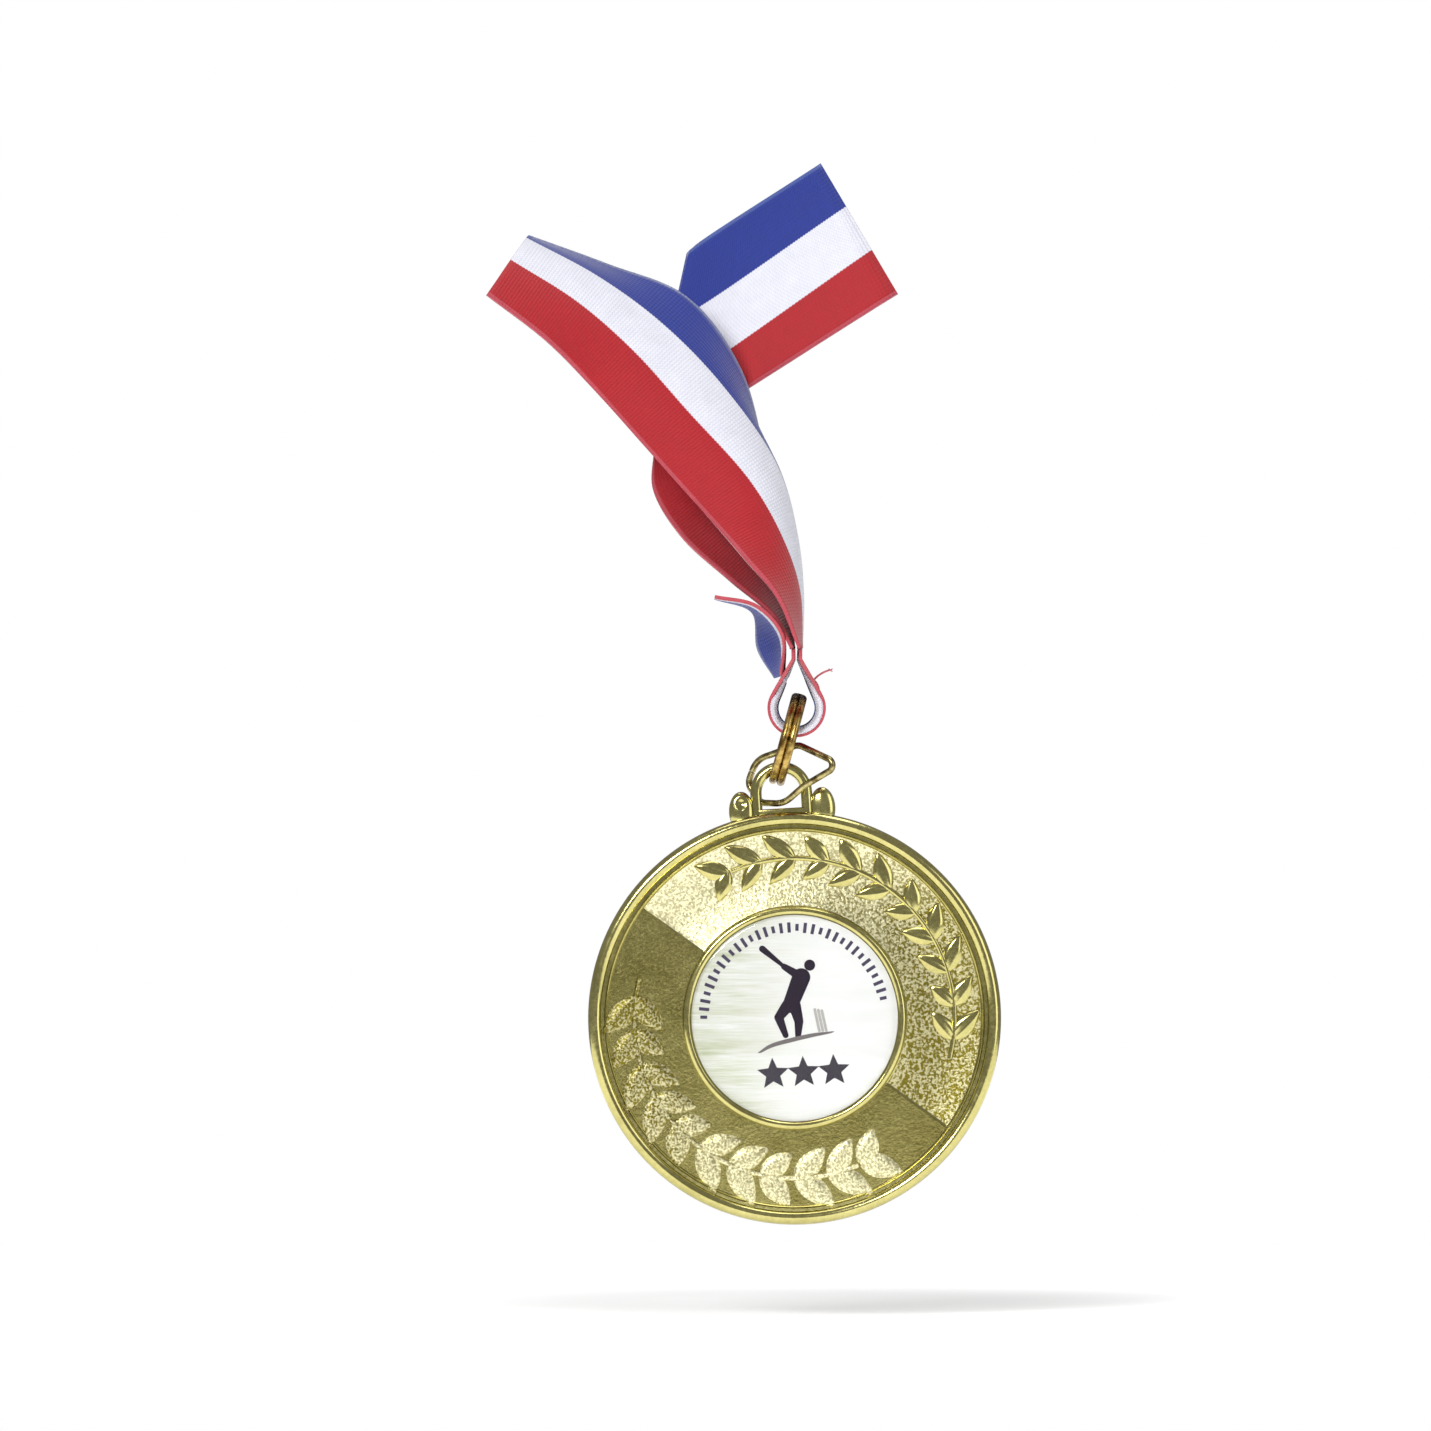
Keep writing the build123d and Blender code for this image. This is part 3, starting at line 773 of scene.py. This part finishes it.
def make_print():
    dark, grey = ink("ink_dark", tone(34, 24, 40)), ink("ink_grey", tone(170, 168, 164))
    inked("print_athlete", athlete(), dark)
    posts = [limb((2.5 + 0.42 * i, 0.9 - 0.1 * i), (2.9 + 0.42 * i, -1.7), 0.34) for i in range(3)]
    inked("print_posts", posts, grey)
    inked("print_ground", [ground()], ink("ink_ground", tone(110, 104, 104)))
    inked("print_stars", [star(-3.0 + 3.7 * i, -6.6, 2.0) for i in range(3)], dark)
    inked("print_border", tick_marks(), ink("ink_border", tone(70, 62, 84)))


# --- ribbon ---------------------------------------------------------------------------------
def section(x, y, z, fall, turns, width=RIBBON_WIDTH):
    """Red edge, two stripe lines and blue edge of a ribbon that runs down at an angle of fall."""
    line = Vector((x, y, z))
    deeper, rise = Vector((0, 1, 0)), across(90 - fall)
    steps = [(rise * cos(radians(a)) + deeper * sin(radians(a))) * width / STRIPES for a in turns]
    return [line - steps[0], line, line + steps[1], line + steps[1] + steps[2]]


def lay_sheet(name, rows, body="ribbon"):
    """A sheet through rows of points: each row runs across the ribbon, red edge first."""
    count, wide = len(rows), len(rows[0])
    lengths = [0.0]
    for one, two in zip(rows, rows[1:]):
        lengths.append(lengths[-1] + sum((b - a).length for a, b in zip(one, two)) / wide)
    bm = bmesh.new()
    cloth = bm.loops.layers.uv.new("Cloth")
    grid = bmesh.ops.create_grid(bm, x_segments=count - 1, y_segments=wide - 1, size=0.5)
    spots = {}
    for v in grid["verts"]:
        i, j = round((v.co.x + 0.5) * (count - 1)), round((v.co.y + 0.5) * (wide - 1))
        spots[v] = (j / (wide - 1), lengths[i] / RIBBON_WIDTH)
        v.co = rows[i][j]
    for f in bm.faces:
        for loop in f.loops:
            loop[cloth].uv = spots[loop.vert]
    obj = piece(name, bm, IN_MM, body, [RIBBON_FINISH], sharp=60)
    solid = obj.modifiers.new("thickness", "SOLIDIFY")
    solid.thickness = RIBBON_THICK * MM
    solid.offset = 0.0
    return obj


def strip_rows(sections):
    """Rows of points for a sheet that runs smoothly through its sections."""
    wide = [flow(s, SECTION_STEPS) for s in sections]
    lines = [flow(line, RUN_STEPS) for line in zip(*wide)]
    return list(zip(*lines))


def make_front_leg():
    """The leg in front, twisting from its cut end down to the seam."""
    sections = [
        section(-21.1, -4.0, -1.9, 33, (41, 60, 85)),
        section(-13.0, -4.5, -7.0, 37, (27, 53, 72)),
        section(-6.3, -5.0, -12.8, 45, (6, 44, 47)),
        section(0.3, -5.5, -20.1, 50, (0, 39, 62)),
        section(8.0, -5.5, -28.8, 56, (2, 56, 100)),
        section(12.0, -4.5, -36.1, 66, (41, 75, 97)),
        section(13.8, -3.8, -41.9, 77, (66, 86, 93)),
        section(LOOP_X + 0.55, *SEAM, 84, (88, 90, 92)),
    ]
    obj = lay_sheet("front_leg_sheet", strip_rows(sections))
    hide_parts("ribbon_front_leg")


def make_back_leg():
    """The leg that folds over and runs down behind the front one."""
    lean = Vector((0, sin(radians(BACK_TILT)), 0))
    back_up = across(120) * cos(radians(BACK_TILT)) + lean
    start = Vector((22.8, 8.5, -0.25))
    flat = [start + back_up * STRIPE * k for k in (-1, 0, 1, 2)]
    crease = Vector((5.8, RIBBON_WIDTH * lean.y, 26.9))
    left = Vector((-crease.z, 0, crease.x)).normalized()
    front = crease.cross(left).normalized()
    sections = [flat]
    for turn in (0, 45, 90, 135, 180):
        outward = front * cos(radians(turn)) + left * sin(radians(turn))
        foot = Vector((-3.2, 8.5, -17.2)) + (outward - front - left) * CREASE_ROLL
        round_off = 0.12 * sin(radians(turn))
        sections.append([foot + crease / STRIPES * k for k in (-0.72, 0, 1, 2 - round_off)])
    sections += [
        section(1.0, 8.4, -25.0, 50, (15, 40, 60)),
        section(3.5, 6.6, -31.6, 50, (38, 62, 75)),
        section(8.2, 2.5, -37.8, 46, (55, 76, 85)),
        section(12.2, -1.1, -44.0, 55, (75, 86, 91)),
        section(LOOP_X - 0.35, *SEAM, 80, (88, 90, 92)),
    ]
    obj = lay_sheet("back_leg_sheet", strip_rows(sections))
    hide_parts("ribbon_back_leg")


def make_tail():
    top = LOOP_Z + LOOP_RISE
    sections = [
        section(LOOP_X - 9.9, -3.3, top + 6.9, 8, (90, 90, 90)),
        section(LOOP_X - 4.9, -3.3, top + 5.8, 30, (90, 91, 95)),
        section(LOOP_X - 1.8, -3.0, top + 2.4, 60, (90, 92, 117)),
        section(LOOP_X - 1.6, -2.0, top - 2.5, 68, (86, 90, 104), width=12),
    ]
    obj = lay_sheet("tail_sheet", strip_rows(sections))
    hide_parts("ribbon_tail")


def loop_route():
    """Where the band runs from the seam round the ring and back: x, z and the way it faces in degrees."""
    lean = degrees(asin(LOOP_RADIUS / LOOP_RISE))
    flank = LOOP_RISE * cos(radians(lean))
    foot, upward = polar(LOOP_RADIUS, lean), polar(1, lean + 90)
    down = [(0.35, LOOP_RISE + 0.6, lean)]
    for k in range(1, 8):
        spot = foot + upward * (flank * (1 - k / 8))
        down.append((spot.x, spot.y, lean))
    bend = []
    for k in range(33):
        angle = lean - (180 + 2 * lean) * k / 32
        spot = polar(LOOP_RADIUS, angle)
        bend.append((spot.x, spot.y, angle))
    rise = [(-x, z, 180 - angle) for x, z, angle in reversed(down)]
    return [*down, *bend, *rise]


def make_loop():
    """The gathered ribbon, in loose pleats that open towards the seam."""
    rows = []
    for x, z, angle in loop_route():
        opening = ease((z - 0.5) / LOOP_RISE)
        folds = [Vector((*g, 0)).lerp(Vector((*o, 0)), opening) for g, o in zip(GATHERED, OPENED)]
        out = across(angle)
        middle = Vector((LOOP_X + x, 0, LOOP_Z + z))
        rows.append([middle + out * p.y + Vector((0, p.x, 0)) for p in flow(folds, 7)])
    obj = lay_sheet("loop_sheet", rows)
    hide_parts("ribbon_loop")


def make_stitches():
    low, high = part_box("seam_stitching")
    bm = bmesh.new()
    lean = Matrix.Rotation(radians(-25), 4, "Y")
    count = 7
    for i in range(count):
        y = low.y + (high.y - low.y) * (i + 0.5) / count
        middle = Vector(((low.x + high.x) / 2, y, (low.z + high.z) / 2)) / MM
        place = Matrix.Translation(middle) @ lean @ Matrix.Diagonal((0.2, 0.2, 0.68, 1))
        bmesh.ops.create_uvsphere(bm, u_segments=12, v_segments=8, radius=1, matrix=place)
    obj = piece("stitches", bm, IN_MM, "ribbon", [THREAD_FINISH])
    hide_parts("seam_stitching")


def make_thread_end():
    """The loose end of the sewing thread, its fibres spreading at the tip."""
    low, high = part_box("thread_end")
    foot = Vector((low.x, low.y, low.z)) / MM + Vector((0.1, 0.2, 0.2))
    tip = Vector((high.x, (low.y + high.y) / 2, high.z)) / MM - Vector((0.3, 0, 0.2))
    bm = bmesh.new()
    add_wire(bm, [foot, foot.lerp(tip, 0.4) + Vector((-0.1, 0, 0.35)), tip], 0.13, 3)
    draw = random.Random(7)
    for _ in range(9):
        spread = Vector((draw.uniform(0.2, 0.7), draw.uniform(-0.5, 0.5), draw.uniform(-0.35, 0.25)))
        add_wire(bm, [tip - spread * 0.5, tip, tip + spread * 0.7], 0.035, 1)
    obj = piece("loose_thread", bm, IN_MM, "ribbon", [THREAD_FINISH])
    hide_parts("thread_end")


# --- carried-over nodes, stage, light and camera ------------------------------------------------
def dress(node, finish):
    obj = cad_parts[node]
    obj.data.materials.clear()
    obj.data.materials.append(finish)


def make_stage():
    bm = bmesh.new()
    bmesh.ops.create_circle(bm, cap_ends=True, segments=96, radius=FLOOR_RADIUS)
    bmesh.ops.translate(bm, vec=(0, 0, FLOOR_Z), verts=bm.verts)
    mesh = bpy.data.meshes.new("floor")
    bm.to_mesh(mesh)
    bm.free()
    mesh.materials.append(floor_paper())
    floor = bpy.data.objects.new("floor", mesh)
    bpy.context.scene.collection.objects.link(floor)


def softbox(name, place, aim, size, power):
    light = bpy.data.lights.new(name, "AREA")
    light.shape = "RECTANGLE"
    light.size, light.size_y = size
    light.energy = power
    obj = bpy.data.objects.new(name, light)
    obj.location = place
    obj.rotation_euler = (Vector(aim) - Vector(place)).to_track_quat("-Z", "Y").to_euler()
    bpy.context.scene.collection.objects.link(obj)


def make_world():
    """Grey surroundings that the camera sees as a white backdrop."""
    world = bpy.data.worlds.new("studio")
    bpy.context.scene.world = world
    world.use_nodes = True
    tree = world.node_tree
    back = next(n for n in tree.nodes if n.type == "BACKGROUND")
    rays = tree.nodes.new("ShaderNodeLightPath")
    shade = tree.nodes.new("ShaderNodeMix")
    shade.data_type = "RGBA"
    shade.inputs[6].default_value = (0.30, 0.30, 0.30, 1)
    shade.inputs[7].default_value = (1, 1, 1, 1)
    tree.links.new(rays.outputs["Is Camera Ray"], shade.inputs[0])
    tree.links.new(shade.outputs[2], back.inputs["Color"])


def make_lights():
    centre = (0.010, 0, -0.07)
    softbox("key", (-0.30, -0.62, 0.26), centre, (0.3, 0.16), 3.2)
    softbox("fill", (0.6, -0.42, 0.1), centre, (0.3, 0.6), 1.1)
    softbox("top", (0.0, -0.05, 0.6), centre, (0.5, 0.4), 2.2)


def make_camera():
    lens = bpy.data.cameras.new("camera")
    lens.sensor_width = 36.0
    lens.lens = 36.0 * VIEW_DISTANCE / VIEW_SPAN
    lens.clip_start, lens.clip_end = 0.05, 20
    camera = bpy.data.objects.new("camera", lens)
    camera.location = (VIEW_MIDDLE[0] * MM, -VIEW_DISTANCE * MM, VIEW_MIDDLE[1] * MM)
    camera.rotation_euler = (pi / 2, 0, 0)
    bpy.context.scene.collection.objects.link(camera)
    bpy.context.scene.camera = camera
    bpy.context.scene.view_settings.view_transform = "Standard"


RIBBON_FINISH = ribbon_cloth()
THREAD_FINISH = thread_cotton()
make_medal_body()
dome()
make_print()
make_front_leg()
make_back_leg()
make_tail()
make_loop()
make_stitches()
make_thread_end()
dress("insert_disc", brushed_print())
dress("insert_adhesive", foam_pad())
dress("split_ring", ring_metal("ring_brass", tone(116, 88, 40), tone(196, 168, 98), 0.26))
dress("jump_ring", ring_metal("ring_bronze", tone(104, 88, 48), tone(196, 184, 128), 0.24))
make_stage()
make_world()
make_lights()
make_camera()
